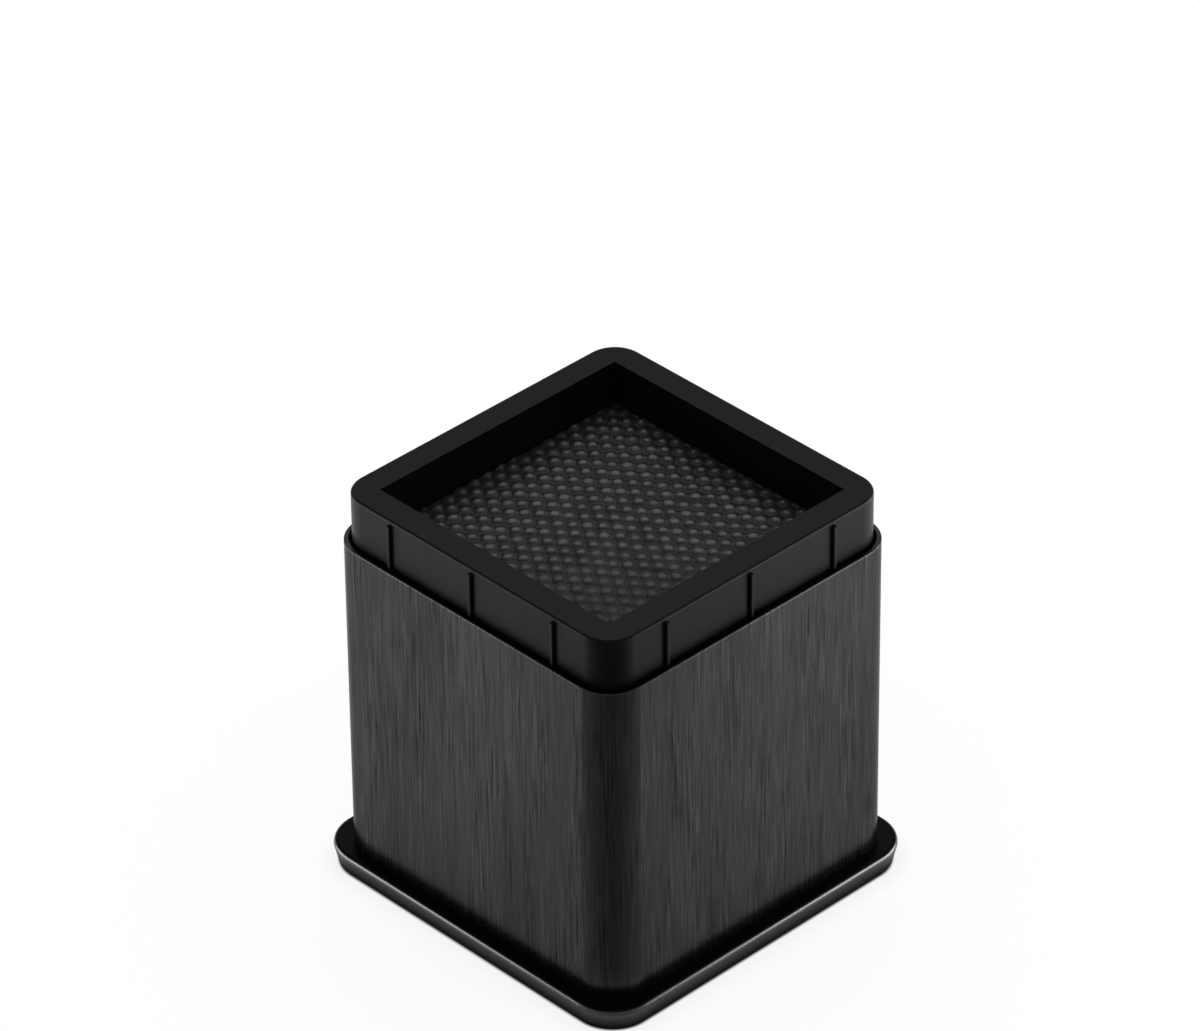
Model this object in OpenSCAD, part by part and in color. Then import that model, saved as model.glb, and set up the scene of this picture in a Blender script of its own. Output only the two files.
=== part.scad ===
// Bed riser: a square block that lifts one leg of a bed or sofa by about three inches.
// A moulded core with a leg recess and a ribbed collar drops into a square steel sleeve.
// The sleeve stands on a flanged base, and screws from below draw core and base together.
// Origin on the floor under the middle of the riser, sides along X and Y, +Z up.

/* [Overall] */
// Height from the floor to the top of the rim
total_h = 90; // [70:0.2:130]

/* [Leg recess] */
// Width of the square recess that takes the furniture leg
recess_w = 64; // [50:0.5:90]
// Depth from the rim down to the face of the pad
recess_h = 9.2; // [6:0.2:14]
// Thickness of the moulded floor under the recess
recess_floor_t = 3.2; // [2:0.2:6]

/* [Core] */
// Width of the flat rim around the recess
rim_w = 6; // [4.5:0.1:9]
// Radius of the collar's upright corners
collar_corner_r = 6.5; // [4.5:0.1:10]
// Small round along the outer edge of the rim
rim_round = 0.6; // [0.2:0.1:1.2]
// How far the collar stands out of the sleeve
collar_show_h = 11.2; // [7:0.2:16]
// How far the collar reaches down inside the sleeve
collar_grip_h = 12.4; // [8:0.2:20]
// Wall around the core's cells
core_wall = 2.4; // [1.6:0.1:4]
// Thickness of the webs between the cells
web_t = 1.4; // [0.8:0.1:2.4]
// Widest cell between two webs
cell_max_w = 8.6; // [6:0.1:8.7]

/* [Crush ribs] */
// Ribs on each side of the collar
rib_count = 3; // [2:1:5]
// Width of one rib
rib_w = 0.9; // [0.6:0.1:1.4]
// Round along the rib's outer edges
rib_round = 0.25; // [0.1:0.05:0.3]
// How far below the rim's rounded edge the ribs begin
rib_drop = 0.6; // [0.2:0.1:3]
// Distance from the collar's side to the middle of the first rib
rib_inset = 15.2; // [11:0.1:20]
// Play left between a rib's crest and the sleeve
rib_play = 0.05; // [0.02:0.01:0.1]

/* [Sleeve] */
// Wall of the steel tube
sleeve_wall = 0.9; // [0.6:0.1:1.5]
// Gap between the collar's flat sides and the sleeve
sleeve_gap = 0.75; // [0.5:0.05:1.2]
// Round left by deburring the sleeve's top edge
sleeve_round = 0.3; // [0.1:0.05:0.5]

/* [Base] */
// How far the flange stands out past the sleeve
flange_lip = 3.35; // [2:0.05:6]
// Height of the flange's edge
flange_h = 4.9; // [3.5:0.1:7]
// Radius of the flange's upright corners
flange_corner_r = 9.6; // [7:0.1:12]
// Round along the top edge of the flange
flange_round = 1.1; // [0.4:0.1:2]
// How far the flange's sides draw in towards the floor
flange_draw = 0.9; // [0.2:0.1:1.5]
// Height of the solid plinth inside the sleeve
plinth_h = 3.2; // [2:0.1:6]
// Height of the socket wall above the plinth
socket_h = 6; // [3:0.2:12]
// Wall of the socket that holds the core's foot
socket_wall = 2.2; // [1.4:0.1:3.5]
// Play around the socket, inside and outside
socket_play = 0.2; // [0.1:0.05:0.4]

/* [Pads] */
// Thickness of the pad in the recess
top_pad_t = 2; // [1:0.1:4]
// Play between the pad and the recess walls
top_pad_play = 0.2; // [0.1:0.05:0.5]
// Thickness of the pad under the base
bottom_pad_t = 1.6; // [1.2:0.1:3]
// How far that pad stands out below the flange
bottom_pad_proud = 0.5; // [0.2:0.1:1]
// Margin of flange left around the bottom pad
bottom_pad_margin = 0.9; // [0.5:0.1:6]
// Play between the bottom pad and its pocket
bottom_pad_play = 0.1; // [0.05:0.05:0.3]

/* [Screws] */
// Radius of the screw's shank
screw_r = 1.6; // [1.2:0.1:2]
// Length of the screw under its head
screw_len = 16; // [12:0.5:24]
// Length of the screw's point
screw_point = 2.4; // [1:0.1:4]
// Radius of the screw's head
head_r = 3.1; // [2.4:0.1:3.6]
// Height of the screw's head
head_h = 1.8; // [1.2:0.1:2.2]
// Width of the slots of the head's cross
cross_w = 0.7; // [0.4:0.1:1]
// Depth of the head's cross
cross_h = 1; // [0.5:0.1:1.1]
// Play around the shank in the core
thread_play = 0.05; // [0.02:0.01:0.1]
// Play around the shank and head in the base
screw_play = 0.4; // [0.2:0.05:0.5]

/* [Hidden] */
$fn = 96;
// overrun of every cut past the face it opens
cut = 1;

// plan sizes, from the recess outwards
collar_w = recess_w + 2 * rim_w;
sleeve_inner_w = collar_w + 2 * sleeve_gap;
sleeve_w = sleeve_inner_w + 2 * sleeve_wall;
flange_w = sleeve_w + 2 * flange_lip;
socket_w = sleeve_inner_w - 2 * socket_play;
socket_inner_w = socket_w - 2 * socket_wall;
column_w = socket_inner_w - 2 * socket_play;
cell_field_w = column_w - 2 * core_wall;
flange_foot_w = flange_w - 2 * flange_draw;
bottom_pad_w = flange_foot_w - 2 * bottom_pad_margin - 2 * bottom_pad_play;

// corners that run round the same centre as the collar's
sleeve_inner_r = collar_corner_r + sleeve_gap;
sleeve_r = sleeve_inner_r + sleeve_wall;
socket_r = sleeve_inner_r - socket_play;
socket_inner_r = socket_r - socket_wall;
column_r = socket_inner_r - socket_play;
bottom_pad_r = flange_corner_r - flange_draw - bottom_pad_margin - bottom_pad_play;

// heights, from the floor upwards
flange_z = bottom_pad_proud;
flange_top_z = flange_z + flange_h;
plinth_top_z = flange_top_z + plinth_h;
sleeve_top_z = total_h - collar_show_h;
collar_bottom_z = sleeve_top_z - collar_grip_h;
recess_floor_z = total_h - recess_h - top_pad_t;
cell_top_z = recess_floor_z - recess_floor_t;

// ribs stand out to just short of the sleeve, evenly spaced along each side
rib_h = sleeve_gap - rib_play;
rib_top_z = total_h - rim_round - rib_drop;
rib_pitch = (collar_w - 2 * rib_inset) / (rib_count - 1);

// cells: as many as it takes to keep each below the widest
cell_count = ceil((cell_field_w + web_t) / (cell_max_w + web_t));
cell_w = (cell_field_w - (cell_count - 1) * web_t) / cell_count;
cell_pitch = cell_w + web_t;

// each screw sits in the middle of a corner cell, which is left solid
screw_pos = (cell_count - 1) / 2 * cell_pitch;
pocket_h = bottom_pad_t - bottom_pad_proud;
head_top_z = flange_z + pocket_h + head_h;
pilot_r = screw_r + thread_play;
screw_top_z = head_top_z + screw_len;
point_z = screw_top_z - screw_point;

// A square of width w with corners of radius r
module round_square(w, r) {
    square([w - 2 * r, w], center = true);
    square([w, w - 2 * r], center = true);
    for (x = [-1, 1], y = [-1, 1])
        translate([x * (w / 2 - r), y * (w / 2 - r)])
            circle(r);
}

// Half of the section of a plate whose top edge is rounded and whose side draws in downwards
module edge_section(half_w, h, edge_r, draw) {
    polygon([[0, 0], [half_w - draw, 0], [half_w, h - edge_r], [0, h - edge_r]]);
    square([half_w - edge_r, h]);
    translate([half_w - edge_r, h - edge_r])
        intersection() {
            circle(edge_r);
            square(edge_r);
        }
}

// A plate with rounded upright corners and a rounded top edge
module soft_plate(w, r, h, edge_r, draw = 0) {
    for (x = [-1, 1], y = [-1, 1])
        translate([x * (w / 2 - r), y * (w / 2 - r), 0])
            rotate_extrude()
                edge_section(r, h, edge_r, draw);
    for (turn = [0, 90])
        rotate([90, 0, turn])
            linear_extrude(w - 2 * r, center = true) {
                edge_section(w / 2, h, edge_r, draw);
                mirror([1, 0])
                    edge_section(w / 2, h, edge_r, draw);
            }
}

// One crush rib: a low fin with rounded edges, standing on the face x = collar_w / 2
module crush_rib(h) {
    translate([collar_w / 2 - rim_round, 0, 0])
        linear_extrude(h) {
            translate([0, -rib_w / 2])
                square([rim_round + rib_h - rib_round, rib_w]);
            translate([0, rib_round - rib_w / 2])
                square([rim_round + rib_h, rib_w - 2 * rib_round]);
            for (y = [-1, 1])
                translate([rim_round + rib_h - rib_round, y * (rib_w / 2 - rib_round)])
                    circle(rib_round);
        }
}

// Places its child at the four screws
module at_screws() {
    for (x = [-1, 1], y = [-1, 1])
        translate([x * screw_pos, y * screw_pos, 0])
            children();
}

// Open cells in the underside of the core, apart from the corner ones that hold the screws
module cells() {
    last = cell_count - 1;
    for (i = [0 : last], j = [0 : last])
        if (!((i == 0 || i == last) && (j == 0 || j == last)))
            translate([(i - last / 2) * cell_pitch - cell_w / 2,
                       (j - last / 2) * cell_pitch - cell_w / 2,
                       plinth_top_z - cut])
                cube([cell_w, cell_w, cell_top_z - plinth_top_z + cut]);
}

// Moulded core: leg recess, collar with its crush ribs, and the webbed column under them
module core() {
    color("#1c1c1d")
    difference() {
        union() {
            translate([0, 0, collar_bottom_z])
                soft_plate(collar_w, collar_corner_r, total_h - collar_bottom_z, rim_round);
            translate([0, 0, plinth_top_z])
                linear_extrude(collar_bottom_z - plinth_top_z)
                    round_square(column_w, column_r);
            for (side = [0 : 90 : 270])
                rotate([0, 0, side])
                    for (i = [0 : rib_count - 1])
                        translate([0, rib_inset - collar_w / 2 + i * rib_pitch, collar_bottom_z])
                            crush_rib(rib_top_z - collar_bottom_z);
        }
        translate([-recess_w / 2, -recess_w / 2, recess_floor_z])
            cube([recess_w, recess_w, recess_h + top_pad_t + cut]);
        cells();
        at_screws()
            translate([0, 0, plinth_top_z - cut])
                cylinder(r = pilot_r, h = screw_top_z + cut - plinth_top_z + cut);
    }
}

// Square steel tube with rounded corners, its top edge deburred
module sleeve() {
    color("#4a4a4d")
    translate([0, 0, flange_top_z])
        difference() {
            soft_plate(sleeve_w, sleeve_r, sleeve_top_z - flange_top_z, sleeve_round);
            translate([0, 0, -cut])
                linear_extrude(sleeve_top_z - flange_top_z + 2 * cut)
                    round_square(sleeve_inner_w, sleeve_inner_r);
        }
}

// Moulded base: flange, plinth and the socket wall that stands inside the sleeve
module base() {
    color("#171718")
    difference() {
        union() {
            translate([0, 0, flange_z])
                soft_plate(flange_w, flange_corner_r, flange_h, flange_round, flange_draw);
            translate([0, 0, flange_z])
                linear_extrude(flange_h + plinth_h + socket_h)
                    round_square(socket_w, socket_r);
        }
        translate([0, 0, plinth_top_z])
            linear_extrude(socket_h + cut)
                round_square(socket_inner_w, socket_inner_r);
        translate([0, 0, flange_z - cut])
            linear_extrude(pocket_h + cut)
                round_square(bottom_pad_w + 2 * bottom_pad_play, bottom_pad_r + bottom_pad_play);
        at_screws() {
            translate([0, 0, flange_z])
                cylinder(r = screw_r + screw_play, h = plinth_top_z - flange_z + cut);
            translate([0, 0, flange_z])
                cylinder(r = head_r + screw_play, h = head_top_z - flange_z);
        }
    }
}

// Grip pad on the floor of the recess
module top_pad() {
    color("#262627")
    translate([-recess_w / 2 + top_pad_play, -recess_w / 2 + top_pad_play, recess_floor_z])
        cube([recess_w - 2 * top_pad_play, recess_w - 2 * top_pad_play, top_pad_t]);
}

// Grip pad in the pocket under the base
module bottom_pad() {
    color("#111112")
    linear_extrude(bottom_pad_t)
        round_square(bottom_pad_w, bottom_pad_r);
}

// Self-tapping screw, head down
module screw() {
    difference() {
        union() {
            translate([0, 0, head_top_z - head_h])
                cylinder(r = head_r, h = head_h);
            translate([0, 0, head_top_z])
                cylinder(r = screw_r, h = point_z - head_top_z);
            translate([0, 0, point_z])
                cylinder(r1 = screw_r, r2 = 0, h = screw_point);
        }
        for (turn = [0, 90])
            rotate([0, 0, turn])
                translate([-head_r / 2, -cross_w / 2, head_top_z - head_h - cut])
                    cube([head_r, cross_w, cross_h + cut]);
    }
}

// The four screws that draw the core and the base together
module base_screws() {
    color("silver")
    at_screws()
        screw();
}

core();
sleeve();
base();
top_pad();
bottom_pad();
base_screws();
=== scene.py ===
import math
import random

import bpy
from mathutils import Matrix, Vector


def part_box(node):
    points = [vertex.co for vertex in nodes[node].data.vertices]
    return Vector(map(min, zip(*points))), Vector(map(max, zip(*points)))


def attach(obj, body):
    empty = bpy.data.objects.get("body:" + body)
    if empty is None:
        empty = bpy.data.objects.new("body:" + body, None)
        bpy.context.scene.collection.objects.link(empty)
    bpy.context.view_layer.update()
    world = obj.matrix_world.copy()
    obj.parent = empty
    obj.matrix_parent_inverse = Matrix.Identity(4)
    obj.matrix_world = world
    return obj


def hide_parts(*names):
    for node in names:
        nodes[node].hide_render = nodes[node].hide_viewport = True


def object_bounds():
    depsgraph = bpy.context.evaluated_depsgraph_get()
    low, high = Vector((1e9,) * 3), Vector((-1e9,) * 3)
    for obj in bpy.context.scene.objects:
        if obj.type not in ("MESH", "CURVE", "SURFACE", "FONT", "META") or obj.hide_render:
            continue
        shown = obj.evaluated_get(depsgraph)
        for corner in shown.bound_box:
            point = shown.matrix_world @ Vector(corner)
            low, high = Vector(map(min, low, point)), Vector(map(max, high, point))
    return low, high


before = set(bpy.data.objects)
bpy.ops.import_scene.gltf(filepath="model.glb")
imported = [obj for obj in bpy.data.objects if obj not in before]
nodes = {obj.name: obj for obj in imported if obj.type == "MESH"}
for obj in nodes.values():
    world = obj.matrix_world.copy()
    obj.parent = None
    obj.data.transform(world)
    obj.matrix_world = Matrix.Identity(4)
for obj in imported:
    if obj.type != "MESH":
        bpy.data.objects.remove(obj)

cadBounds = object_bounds()
mm = 0.001


# Shader maths: a wire is an output socket that takes part in Python expressions
class Wire:
    def __init__(self, sheet, socket):
        self.sheet = sheet
        self.socket = socket

    def maths(self, operation, *values):
        return self.sheet.add("ShaderNodeMath", {"operation": operation}, values)

    def __add__(self, other):
        return self.maths("ADD", self, other)

    def __radd__(self, other):
        return self.maths("ADD", other, self)

    def __sub__(self, other):
        return self.maths("SUBTRACT", self, other)

    def __rsub__(self, other):
        return self.maths("SUBTRACT", other, self)

    def __mul__(self, other):
        return self.maths("MULTIPLY", self, other)

    def __rmul__(self, other):
        return self.maths("MULTIPLY", other, self)

    def __truediv__(self, other):
        return self.maths("DIVIDE", self, other)

    def __rtruediv__(self, other):
        return self.maths("DIVIDE", other, self)

    def rise(self, low, high):      # 0 below low, 1 above high, smooth between
        return self.sheet.add("ShaderNodeMapRange", {"interpolation_type": "SMOOTHSTEP"},
                              {"Value": self, "From Min": low, "From Max": high})


# The node tree of a material or a world, with one method that adds any node
class Sheet:
    def __init__(self, owner):
        owner.use_nodes = True
        self.owner = owner
        self.tree = owner.node_tree
        self.tree.nodes.clear()

    def add(self, kind, settings=None, inputs=None, output=0):
        node = self.tree.nodes.new(kind)
        for key, value in (settings or {}).items():
            setattr(node, key, value)
        pairs = inputs.items() if isinstance(inputs, dict) else enumerate(inputs or [])
        for key, value in pairs:
            if isinstance(value, Wire):
                self.tree.links.new(value.socket, node.inputs[key])
            else:
                node.inputs[key].default_value = value
        return Wire(self, node.outputs[output]) if node.outputs else None

    def vector(self, operation, *values, output=0):
        return self.add("ShaderNodeVectorMath", {"operation": operation}, values, output)

    def dot(self, vector, along):
        return self.vector("DOT_PRODUCT", vector, along, output="Value")

    def place(self):                # where a point is on the riser, in millimetres
        spot = self.add("ShaderNodeTexCoord", output="Object")
        return self.vector("MULTIPLY", spot, (1 / mm, 1 / mm, 1 / mm))

    def noise(self, vector, scale, detail, roughness=0.5):
        return self.add("ShaderNodeTexNoise", None, {"Vector": vector, "Scale": scale,
                                                     "Detail": detail, "Roughness": roughness})

    def tint(self, factor, low, high):      # 6, 7 and 2 are the Mix node's colour sockets
        return self.add("ShaderNodeMix", {"data_type": "RGBA"},
                        {"Factor": factor, 6: (*low, 1), 7: (*high, 1)}, 2)

    def grey(self, level):
        return self.add("ShaderNodeCombineXYZ", None, [level, level, level])

    def bump(self, height, strength, distance):
        return self.add("ShaderNodeBump", None,
                        {"Height": height, "Strength": strength, "Distance": distance})

    def mix(self, share, first, second):
        return self.add("ShaderNodeMixShader", None, [share, first, second])

    def close(self, shader, kind="ShaderNodeOutputMaterial"):
        self.add(kind, None, {"Surface": shader})
        return self.owner

    def surface(self, inputs):
        return self.close(self.add("ShaderNodeBsdfPrincipled", None, inputs))


def newSheet(name):
    return Sheet(bpy.data.materials.new(name))


# Finishes: a noise is its scale per millimetre and detail, and where it matters its roughness

coreLook = {
    "dark": (0.0010, 0.0010, 0.0010),
    "light": (0.0024, 0.0024, 0.0025),
    "roughness": 0.40,
    "roughnessSpread": 0.10,
    "cloud": (0.12, 3.0),
    "grain": (5.0, 3.0, 0.6),
    "grainShare": 0.3,              # share of the grain in the colour
    "grainStrength": 0.5,
    "grainDepth": 0.012 * mm,
    "specular": 0.13,
}
baseLook = dict(
    coreLook, dark=(0.0004, 0.0004, 0.0004), light=(0.0010, 0.0010, 0.0010),
    roughness=0.30, roughnessSpread=0.06, grainDepth=0.004 * mm, specular=0.05,
    polish=0.90,                    # the edge and sides are smoother than the flat faces
    polishRoughness=0.33, polishIor=1.9,
    flatFrom=(0.55, 0.85))          # upward part of the normal, from not flat to flat


def mouldedPlastic(name, look):
    sheet = newSheet(name)
    at = sheet.place()
    cloud = sheet.noise(at, *look["cloud"])
    grain = sheet.noise(at, *look["grain"])
    share = look["grainShare"]
    inputs = {
        "Base Color": sheet.tint(cloud * (1 - share) + grain * share, look["dark"], look["light"]),
        "Roughness": look["roughness"] + (cloud - 0.5) * look["roughnessSpread"],
        "Specular IOR Level": look["specular"],
        "Normal": sheet.bump(grain, look["grainStrength"], look["grainDepth"]),
    }
    if "polish" in look:
        facing = sheet.add("ShaderNodeNewGeometry", output="Normal")
        flat = sheet.add("ShaderNodeSeparateXYZ", None, [facing], "Z").rise(*look["flatFrom"])
        inputs["Coat Weight"] = look["polish"] * (1 - flat)
        inputs["Coat Roughness"] = look["polishRoughness"]
        inputs["Coat IOR"] = look["polishIor"]
    return sheet.surface(inputs)


steelLook = {                       # streaks are width and length in millimetres, detail, roughness
    "dark": (0.018, 0.018, 0.0185),
    "light": (0.094, 0.094, 0.096),
    "grazing": (0.55, 0.55, 0.55, 1),
    "roughness": 0.27,
    "roughnessSpread": 0.04,
    "lines": (0.38, 12.0, 3.0, 0.7),
    "lineContrast": (0.9, 2.5),     # where the brush pressed least and most
    "lineStrength": 0.5,
    "lineDepth": 0.004 * mm,
    "patches": (3.5, 30.0, 2.0, 0.5),
    "patchFrom": (0.36, 0.64),      # values of their noise, from least to most pressed
    "bands": (11.0, 90.0, 2.0, 0.5),
    "bandContrast": 0.5,
}


def brushedSteel(name, look):
    sheet = newSheet(name)
    at = sheet.place()

    def streaks(width, length, detail, roughness):
        drawn = sheet.vector("MULTIPLY", at, (1, 1, width / length))
        return sheet.noise(drawn, 1 / width, detail, roughness)

    lines = streaks(*look["lines"]) - 0.5
    least, most = look["lineContrast"]
    contrast = least + streaks(*look["patches"]).rise(*look["patchFrom"]) * (most - least)
    bands = (streaks(*look["bands"]) - 0.5) * look["bandContrast"]
    return sheet.surface({
        "Base Color": sheet.tint(0.5 + lines * contrast + bands, look["dark"], look["light"]),
        "Metallic": 1.0,
        "Specular Tint": look["grazing"],
        "Roughness": look["roughness"] + lines * look["roughnessSpread"],
        "Normal": sheet.bump(lines, look["lineStrength"], look["lineDepth"]),
    })


floorPadLook = {
    "dark": (0.0008, 0.0008, 0.0008),
    "light": (0.0020, 0.0020, 0.0020),
    "roughness": 0.70,
    "roughnessSpread": 0.2,
    "cloud": (0.15, 2.0),
    "pores": (2.6, 3.0, 0.6),
    "poreShare": 0.5,               # share of the pores in the colour
    "poreStrength": 0.4,
    "poreDepth": 0.03 * mm,
    "specular": 0.1,
}
gripPadLook = dict(
    floorPadLook, dark=(0.0040, 0.0040, 0.0040), light=(0.0100, 0.0100, 0.0100),
    roughness=0.45, specular=0.36,
    shine=1.0, shineRoughness=0.24,
    shineFrom=(80.22, 80.66),       # only the domes' tops shine: heights in millimetres
    paintedShadeFrom=(-5.0, 36.0),          # painted shade: their shine fades towards the near corner, from here to there
    paintedShadeToward=(0.707, -0.707, 0),
    paintedShadeShare=0.95)


def foamRubber(name, look):
    sheet = newSheet(name)
    at = sheet.place()
    cloud = sheet.noise(at, *look["cloud"])
    pores = sheet.noise(at, *look["pores"])
    share = look["poreShare"]
    inputs = {
        "Base Color": sheet.tint(cloud * (1 - share) + pores * share, look["dark"], look["light"]),
        "Roughness": look["roughness"] + (pores - 0.5) * look["roughnessSpread"],
        "Specular IOR Level": look["specular"],
        "Normal": sheet.bump(pores, look["poreStrength"], look["poreDepth"]),
    }
    if "shine" in look:
        top = sheet.add("ShaderNodeSeparateXYZ", None, [at], "Z").rise(*look["shineFrom"])
        # painted shade: the shine on the domes dims towards the near corner
        dull = sheet.dot(at, look["paintedShadeToward"]).rise(*look["paintedShadeFrom"]) * look["paintedShadeShare"]
        inputs["Coat Weight"] = look["shine"] * top * (1 - dull)
        inputs["Coat Roughness"] = look["shineRoughness"]
    return sheet.surface(inputs)


screwLook = {
    "dark": (0.48, 0.49, 0.50),
    "light": (0.66, 0.66, 0.66),
    "haze": (1.5, 3.0),
    "roughness": 0.22,
    "roughnessSpread": 0.2,
}


def platedSteel(name, look):
    sheet = newSheet(name)
    haze = sheet.noise(sheet.place(), *look["haze"])
    return sheet.surface({
        "Base Color": sheet.tint(haze, look["dark"], look["light"]),
        "Metallic": 1.0,
        "Roughness": look["roughness"] + haze * look["roughnessSpread"],
    })


def dress(node, material):
    nodes[node].data.materials.clear()
    nodes[node].data.materials.append(material)


def meshObject(name, vertices, faces, material, smooth=False):
    mesh = bpy.data.meshes.new(name)
    mesh.from_pydata(vertices, [], faces)
    mesh.materials.append(material)
    mesh.polygons.foreach_set("use_smooth", [smooth] * len(faces))
    mesh.update()
    thing = bpy.data.objects.new(name, mesh)
    bpy.context.scene.collection.objects.link(thing)
    return thing


# Grip pad: a die-cut sheet of foam rubber with small domes in staggered rows

padShape = {
    "pitch": 3.7 * mm,              # from dome to dome along a row
    "rowGap": 2.5 * mm,
    "lean": -0.1,                   # the rows run slightly off square
    "spareRows": 4,                 # past both edges, because of the lean
    "domeRadius": 2.05 * mm,        # they run into each other in creases
    "domeHeight": 0.85 * mm,
    "radiusSpread": 0.08,
    "heightSpread": 0.15,
    "drift": 0.14 * mm,             # how far a dome sits off its place
    "step": 0.25 * mm,
    "seed": 7,
}


def domePlaces(look, low, across):  # middle, radius and height of each dome, by row and place
    rng = random.Random(look["seed"])
    rows = math.ceil(across / look["rowGap"]) + look["spareRows"]
    perRow = math.ceil(across / look["pitch"]) + 2
    domes = {}
    for row in range(-look["spareRows"], rows):
        for i in range(-1, perRow):
            y = (i + 0.5 * (row % 2)) * look["pitch"]
            x = row * look["rowGap"] + y * look["lean"]
            domes[row, i] = (
                low.x + x + rng.uniform(-1, 1) * look["drift"],
                low.y + y + rng.uniform(-1, 1) * look["drift"],
                look["domeRadius"] * (1 + rng.uniform(-1, 1) * look["radiusSpread"]),
                look["domeHeight"] * (1 + rng.uniform(-1, 1) * look["heightSpread"]))
    return domes


def domeLift(look, domes, low, x, y):       # height of the nearest domes over the flat sheet
    row = round((x - low.x - (y - low.y) * look["lean"]) / look["rowGap"])
    lift = 0.0
    for r in (row - 1, row, row + 1):
        i = round((y - low.y) / look["pitch"] - 0.5 * (r % 2))
        for key in ((r, i - 1), (r, i), (r, i + 1)):
            if key in domes:
                cx, cy, radius, height = domes[key]
                d = math.hypot(x - cx, y - cy) / radius
                if d < 1:
                    lift = max(lift, height * (1 - d * d))
    return lift


def domedPad(look, material):
    low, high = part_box("top_pad")
    across = high.x - low.x
    domes = domePlaces(look, low, across)
    flat = high.z - look["domeHeight"] * (1 + look["heightSpread"])
    count = round(across / look["step"])
    vertices = []
    for a in range(count + 1):
        x = low.x + across * a / count
        for b in range(count + 1):
            y = low.y + across * b / count
            vertices.append((x, y, flat + domeLift(look, domes, low, x, y)))
    side = count + 1
    faces = [(a * side + b, (a + 1) * side + b, (a + 1) * side + b + 1, a * side + b + 1)
             for a in range(count) for b in range(count)]
    border = ([a * side for a in range(side)] + [count * side + b for b in range(1, side)]
              + [a * side + count for a in range(count - 1, -1, -1)]
              + [b for b in range(count - 1, 0, -1)])
    start, n = len(vertices), len(border)
    vertices += [(vertices[v][0], vertices[v][1], low.z) for v in border]
    faces += [(border[(k + 1) % n], border[k], start + k, start + (k + 1) % n) for k in range(n)]
    faces.append(tuple(start + k for k in range(n - 1, -1, -1)))
    pad = meshObject("gripPad", vertices, faces, material, smooth=True)
    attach(pad, "root")
    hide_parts("top_pad")


print("grip pad")
domedPad(padShape, foamRubber("gripRubber", gripPadLook))

print("finishes of the solid pieces")
dress("core", mouldedPlastic("mouldedCore", coreLook))
dress("base", mouldedPlastic("mouldedBase", baseLook))
dress("sleeve", brushedSteel("brushedSteel", steelLook))
dress("bottom_pad", foamRubber("floorRubber", floorPadLook))
dress("base_screws", platedSteel("platedSteel", screwLook))


# Camera

shot = {
    "azimuth": 46.08,
    "elevation": 34.55,
    "roll": -0.64,
    "distance": 1450 * mm,
    "lens": 223.1,
    "sensor": 36,
    "aimRight": -2.35 * mm,         # the picture's centre, from the middle of the rim
    "aimUp": -5.10 * mm,
}


def toward(turn, height):           # unit vector to a place round the riser, from the camera's side
    a, e = math.radians(shot["azimuth"] + turn), math.radians(height)
    return Vector((math.sin(a) * math.cos(e), -math.cos(a) * math.cos(e), math.sin(e)))


def makeCamera(look):
    back = toward(0, look["elevation"])
    right = Matrix.Rotation(math.radians(look["roll"]), 3, back) @ toward(90, 0)
    up = back.cross(right)
    rim = Vector((0, 0, cadBounds[1].z))
    data = bpy.data.cameras.new("camera")
    data.sensor_width = look["sensor"]
    data.lens = look["lens"]
    camera = bpy.data.objects.new("camera", data)
    bpy.context.scene.collection.objects.link(camera)
    camera.location = rim + right * look["aimRight"] + up * look["aimUp"] + back * look["distance"]
    camera.rotation_euler = Matrix((right, up, back)).transposed().to_euler()
    bpy.context.scene.camera = camera


print("camera")
makeCamera(shot)
bpy.context.scene.view_settings.view_transform = "Standard"


# Surroundings: white to the camera, and darker above than at the horizon to everything else

skyLook = {
    "horizon": 0.90,
    "ceiling": 0.15,
    "ceilingFrom": (0.02, 0.45),    # sine of the height above the horizon
}


def lightWorld(look):
    world = bpy.data.worlds.new("studioWorld")
    bpy.context.scene.world = world
    sheet = Sheet(world)
    view = sheet.add("ShaderNodeTexCoord", output="Generated")
    upward = sheet.add("ShaderNodeSeparateXYZ", None, [view], "Z")
    drop = look["horizon"] - look["ceiling"]
    level = look["horizon"] - upward.rise(*look["ceilingFrom"]) * drop
    soft = sheet.add("ShaderNodeBackground", None, {"Color": sheet.grey(level)})
    white = sheet.add("ShaderNodeBackground", None, {"Color": (1, 1, 1, 1)})
    seen = sheet.add("ShaderNodeLightPath", output="Is Camera Ray")
    sheet.close(sheet.mix(seen, soft, white), "ShaderNodeOutputWorld")


# Floor: white paper with a painted soft shadow at the foot. Gloss sees a painted shade close to the
# foot and a painted dark reflection in front of the near corner. Seen from below it is clear.

floorLook = {
    "size": 8.0,
    "paper": (0.90, 0.90, 0.90),
    # painted shadow: the paper's tone right at the foot
    "paintedShadowTone": (0.02, 0.02, 0.02),
    "glowSeen": 0.90,               # share of plain white in the paper, seen and mirrored
    "glowMirrored": 0.15,
    "footHalf": 42.1,               # outline of the foot, in millimetres
    "footCorner": 8.7,
    "paintedShadowFrom": (-0.4, 5.5),       # millimetres outside that outline, from painted shadow to full paper
    "seenFrom": (-0.5, 0.5),        # and from no glow to full glow, so the painted shadow shows
    # painted shade in the gloss: the mirrored glow starts further from the foot
    "mirroredFrom": (0.5, 6.0),
    "paintedDarkGap": (5.0, 9.0),          # the painted dark reflection begins this far outside the outline
    "paintedDarkFrom": (43.5, 50.0),       # and this far in front of the middle
    "paintedDarkTip": 48.5,                # it widens forward from a tip this far in front
    "paintedDarkEdge": (0.975, 1.0),       # squared sine of the angle at the tip, where it ends
    "paintedDarkLevel": (0.15, 0.40),      # level of the painted dark reflection, straight ahead and aside
}


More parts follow.
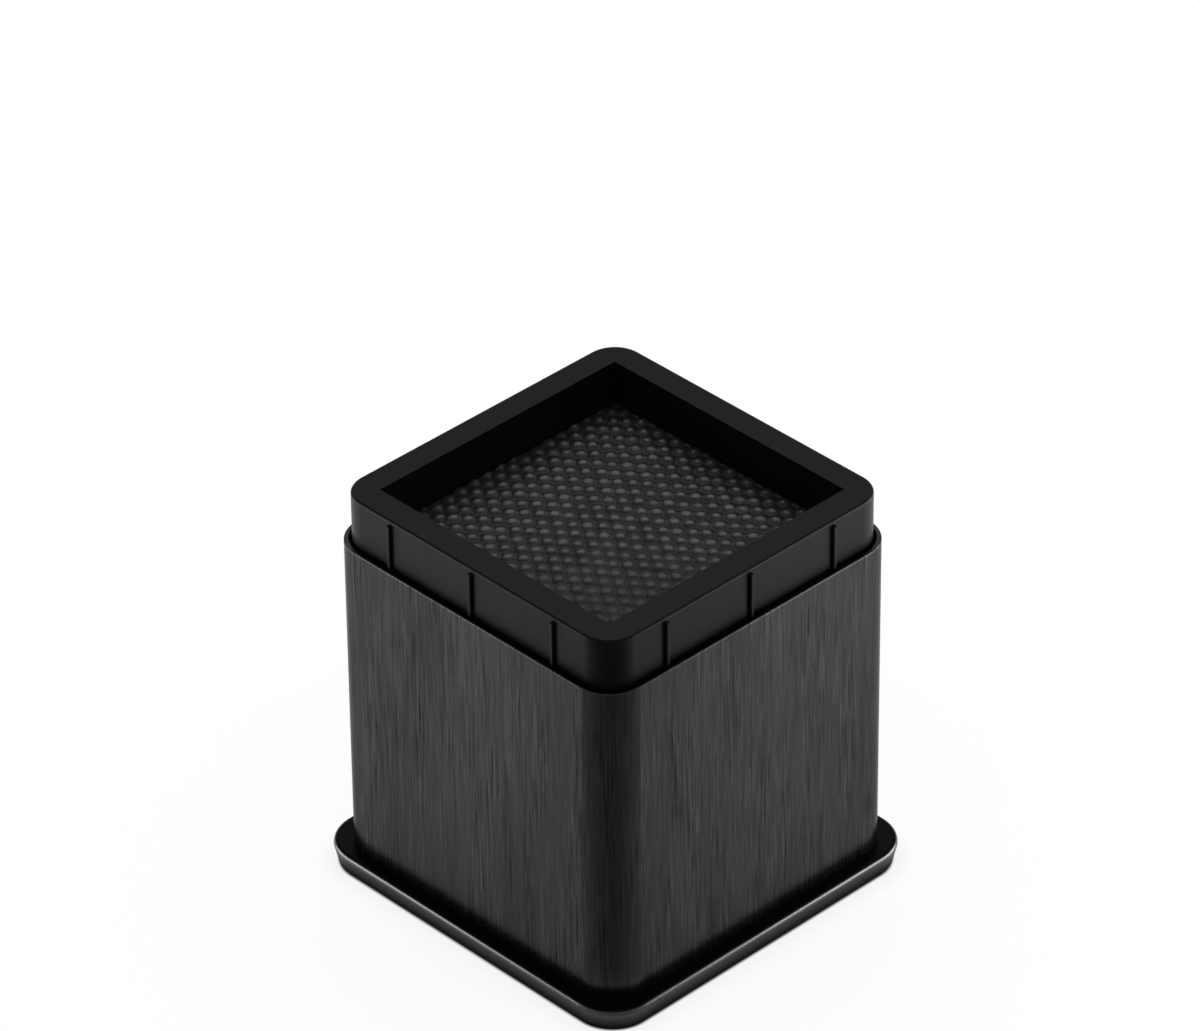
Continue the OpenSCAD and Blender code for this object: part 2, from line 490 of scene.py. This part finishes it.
def whiteFloor(look):
    sheet = newSheet("paleFloor")
    at = sheet.place()
    seen = sheet.add("ShaderNodeLightPath", output="Is Camera Ray")
    mirrored = (sheet.add("ShaderNodeLightPath", output="Is Glossy Ray")
                + sheet.add("ShaderNodeLightPath", output="Is Transmission Ray"))

    inner = look["footHalf"] - look["footCorner"]
    spot = sheet.vector("SUBTRACT", sheet.vector("ABSOLUTE", at), (inner, inner, 0))
    spot = sheet.vector("MAXIMUM", spot, (0, 0, 0))
    gap = sheet.vector("LENGTH", spot, output="Value") - look["footCorner"]
    # painted shadow: the paper darkens towards the foot
    shade = sheet.tint(gap.rise(*look["paintedShadowFrom"]), look["paintedShadowTone"], look["paper"])
    paper = sheet.add("ShaderNodeBsdfDiffuse", None, {"Color": shade})
    glow = sheet.add("ShaderNodeEmission", None, {"Color": (1, 1, 1, 1)})
    share = (seen * gap.rise(*look["seenFrom"]) * look["glowSeen"]
             + mirrored * gap.rise(*look["mirroredFrom"]) * look["glowMirrored"])

    # Painted reflection: a dark glow on the floor in front of the near corner, seen only in the
    # gloss, darkens the reflected corner
    front, aside = sheet.dot(at, toward(0, 0)), sheet.dot(at, toward(90, 0))
    ahead = front - look["paintedDarkTip"]
    turned = aside * aside / (aside * aside + ahead * ahead)
    least, most = look["paintedDarkLevel"]
    level = sheet.grey(least + turned * (most - least))
    dark = sheet.add("ShaderNodeEmission", None, {"Color": level})
    paintedDarkShare = (mirrored * front.rise(*look["paintedDarkFrom"]) * gap.rise(*look["paintedDarkGap"])
                 * (1 - turned.rise(*look["paintedDarkEdge"])))

    above = sheet.mix(paintedDarkShare, sheet.mix(share, paper, glow), dark)
    below = sheet.add("ShaderNodeNewGeometry", output="Backfacing")
    material = sheet.close(sheet.mix(below, above, sheet.add("ShaderNodeBsdfTransparent")))
    half = look["size"] / 2
    corners = [(-half, -half, 0), (half, -half, 0), (half, half, 0), (-half, half, 0)]
    meshObject("floor", corners, [(0, 1, 2, 3)], material)


# Low bright cards on both sides, seen only in the gloss. Turn is counted from the camera.

strips = {
    "leftStrip": {"turn": -90, "away": 260 * mm, "along": (-120 * mm, 80 * mm), "top": 80 * mm,
                  "level": 7.0},
    "rightStrip": {"turn": 90, "away": 260 * mm, "along": (-80 * mm, 120 * mm), "top": 80 * mm,
                   "level": 10.0},
}


def sideStrip(name, look):
    away, along = toward(look["turn"], 0) * look["away"], toward(look["turn"] + 90, 0)
    first, last = (away + along * end for end in look["along"])
    up = Vector((0, 0, look["top"]))
    sheet = newSheet(name)
    glow = sheet.add("ShaderNodeEmission", None, {"Strength": look["level"]})
    corners = [first, last, last + up, first + up]
    card = meshObject(name, corners, [(0, 1, 2, 3)], sheet.close(glow))
    card.visible_camera = False
    card.visible_diffuse = False
    card.visible_shadow = False
    card.visible_transmission = False


# Large soft lights round the riser, in degrees and metres. Level 1 shines like white paper.

softboxes = {
    "rightSoft": {"turn": 105, "height": 32, "distance": 1.4, "size": (1.2, 1.0), "level": 0.5},
    "backSoft": {"turn": 180, "height": 53, "distance": 1.6, "size": (1.3, 1.0), "level": 0.84},
    "highSoft": {"turn": 180, "height": 68, "distance": 1.6, "size": (1.5, 0.25), "level": 0.9},
    "topSoft": {"turn": 0, "height": 90, "distance": 1.5, "size": (2.5, 2.5), "level": 1.7,
                "mirrored": False},
}


def softLight(name, look):
    data = bpy.data.lights.new(name, "AREA")
    data.shape = "RECTANGLE"
    data.size, data.size_y = look["size"]
    data.energy = look["level"] * math.pi * data.size * data.size_y
    light = bpy.data.objects.new(name, data)
    bpy.context.scene.collection.objects.link(light)
    away = toward(look["turn"], look["height"])
    light.location = away * look["distance"]
    light.rotation_euler = away.to_track_quat("Z", "Y").to_euler()
    light.visible_camera = False
    light.visible_glossy = look.get("mirrored", True)


print("surroundings and light")
lightWorld(skyLook)
whiteFloor(floorLook)
for name, look in strips.items():
    sideStrip(name, look)
for name, look in softboxes.items():
    softLight(name, look)
